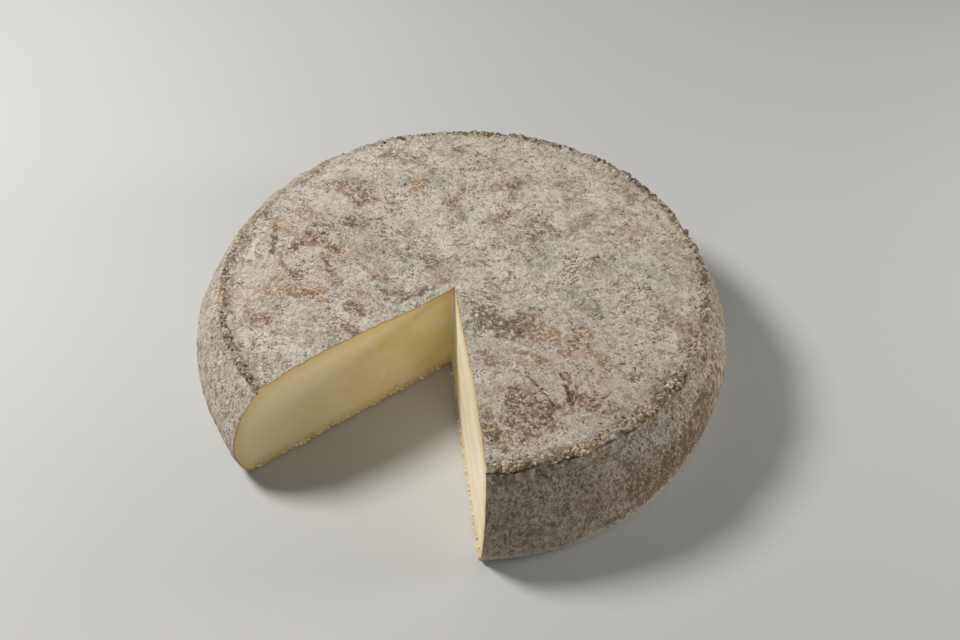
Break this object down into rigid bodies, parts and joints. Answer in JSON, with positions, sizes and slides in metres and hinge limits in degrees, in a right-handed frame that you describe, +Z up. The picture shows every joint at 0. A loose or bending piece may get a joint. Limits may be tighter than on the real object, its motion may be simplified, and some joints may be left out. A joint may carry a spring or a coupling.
{
  "type": "cheese wheel with a wedge cut out",
  "caption": "Low round wheel of semi-soft cheese with a crumbly seam round its top edge and a sixty-degree wedge cut out of it.",
  "frame": {"origin": "the middle of the underside, on the plane that the wheel rests on", "axes": "+Z up along the wheel's axis; the right-hand cut runs from near the middle out to -Y, and the left-hand cut goes out 60 degrees clockwise of it seen from above, towards -X"},
  "size_m": [0.2226, 0.2227, 0.0476],
  "materials": {
    "rind": "dry, dull, finely pitted grey-beige natural mould rind with rusty brown patches and a white bloom",
    "paste": "smooth, slightly moist cream-yellow paste, deeper amber just under the rind"
  },
  "bodies": {
    "root": {"cheese_wheel": "rind"}
  },
  "joints": []
}
